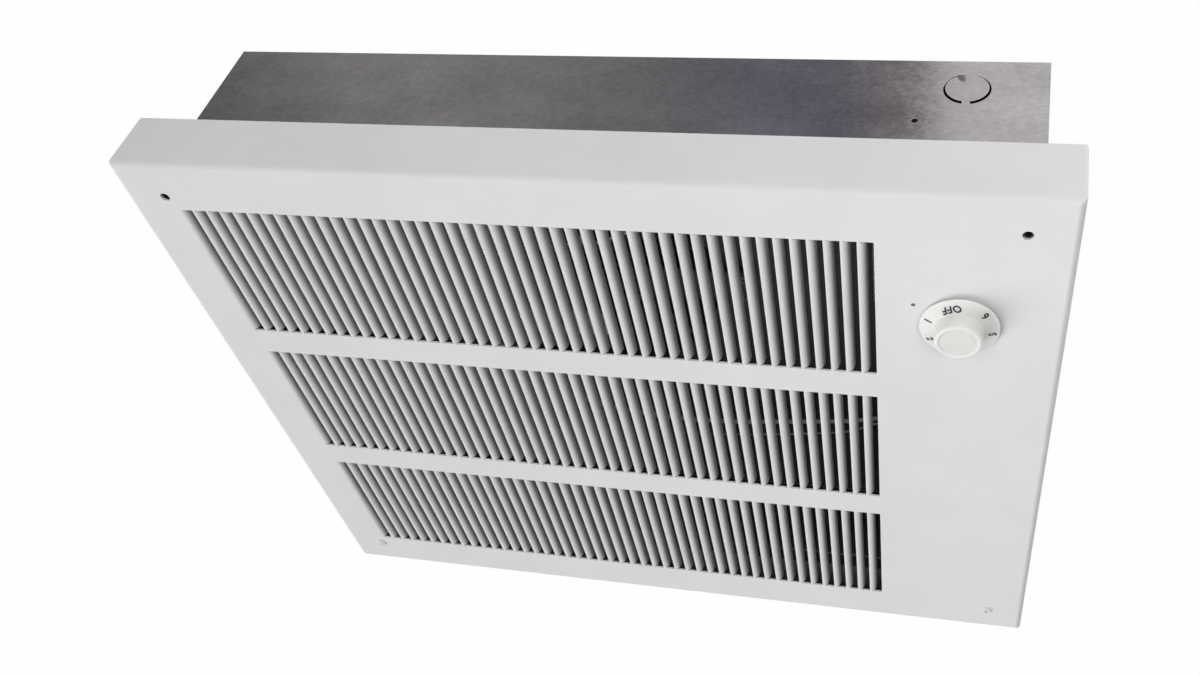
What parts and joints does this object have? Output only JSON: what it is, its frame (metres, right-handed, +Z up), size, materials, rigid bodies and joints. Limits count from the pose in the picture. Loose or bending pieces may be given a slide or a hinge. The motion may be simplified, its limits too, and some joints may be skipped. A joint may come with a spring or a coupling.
{
  "type": "recessed electric wall heater",
  "caption": "Recessed fan-forced electric wall heater: louvred white steel cover over a galvanised wall box, with fan, finned element and a thermostat knob.",
  "frame": {"origin": "in the plane of the finished wall, behind the middle of the front cover", "axes": "+X to the right of a person who faces the heater, +Y into the wall, +Z up"},
  "size_m": [0.502, 0.1366, 0.4],
  "materials": {
    "white_enamel": "white powder coat over steel, satin, fine orange peel",
    "galvanised": "hot-dip galvanised steel sheet, faint spangle",
    "plated_steel": "zinc-plated steel",
    "lamination": "dark electrical steel laminations",
    "winding": "enamelled winding under a tape wrap",
    "die_cast": "zinc die casting",
    "fan_aluminium": "stamped aluminium",
    "shaft_steel": "ground steel",
    "bronze": "sintered bronze",
    "element_steel": "finned steel sheath, heat tinted",
    "porcelain": "glazed steatite",
    "brass": "bright brass",
    "brown_phenolic": "moulded phenolic",
    "red_button": "red moulded plastic",
    "ivory_plastic": "ivory moulded plastic",
    "black_plastic": "black moulded plastic",
    "knob_white": "white moulded plastic, plain numbers printed on the dial",
    "copper": "drawn copper",
    "black_rubber": "moulded rubber",
    "green_steel": "green dyed zinc plating",
    "lead_black": "insulation, semi-gloss",
    "lead_red": "insulation, semi-gloss",
    "lead_white": "insulation, semi-gloss"
  },
  "bodies": {
    "heater": {"wall_box": "galvanised", "box_end_left": "galvanised", "box_end_right": "galvanised", "cover_posts": "black_plastic", "front_cover": "white_enamel", "cover_screws": "white_enamel", "control_divider": "galvanised", "fan_deck": "galvanised", "deck_screws": "plated_steel", "motor_strap": "galvanised", "motor_mounts": "black_rubber", "strap_screws": "plated_steel", "motor_stack": "lamination", "motor_coil": "winding", "motor_end_front": "die_cast", "motor_end_rear": "die_cast", "motor_bearings": "bronze", "motor_screws": "plated_steel", "motor_nuts": "plated_steel", "heating_element": "element_steel", "element_bushings": "porcelain", "element_terminals": "brass", "element_bracket_left": "galvanised", "element_bracket_right": "galvanised", "limit_switch": "brown_phenolic", "fan_delay_relay": "ivory_plastic", "control_bracket": "galvanised", "thermostat_body": "brown_phenolic", "thermostat_nut": "plated_steel", "thermostat_bulb": "plated_steel", "thermostat_capillary": "copper", "disconnect_body": "black_plastic", "terminal_block": "ivory_plastic", "terminal_screws": "brass", "ground_screw": "green_steel", "control_screws": "plated_steel", "lead_grommet": "black_rubber", "leads_black": "lead_black", "leads_red": "lead_red", "leads_white": "lead_white"},
    "knob": {"thermostat_knob": "knob_white", "thermostat_shaft": "shaft_steel"},
    "fan": {"motor_rotor": "lamination", "motor_shaft": "shaft_steel", "fan_hub": "die_cast", "fan_blades": "fan_aluminium"},
    "reset_button": {"limit_reset_button": "red_button"},
    "rocker": {"disconnect_rocker": "black_plastic"}
  },
  "joints": [
    {"name": "knob_turn", "type": "hinge", "parent": "heater", "child": "knob", "pos_m": [0.1985, -0.038, 0.114], "axis": [0, -1, 0], "range_deg": [-257.14, 51.43]},
    {"name": "fan_spin", "type": "hinge", "parent": "heater", "child": "fan", "pos_m": [-0.0355, 0, 0.06135], "axis": [0, -1, 0], "continuous": true},
    {"name": "rocker_tilt", "type": "hinge", "parent": "heater", "child": "rocker", "pos_m": [0.1985, -0.017, 0.066], "axis": [1, 0, 0], "range_deg": [-24, 0]},
    {"name": "reset_press", "type": "slide", "parent": "heater", "child": "reset_button", "axis": [-1, 0, 0], "range_m": [0, 0.0015], "stiffness_N_per_m": 300}
  ]
}
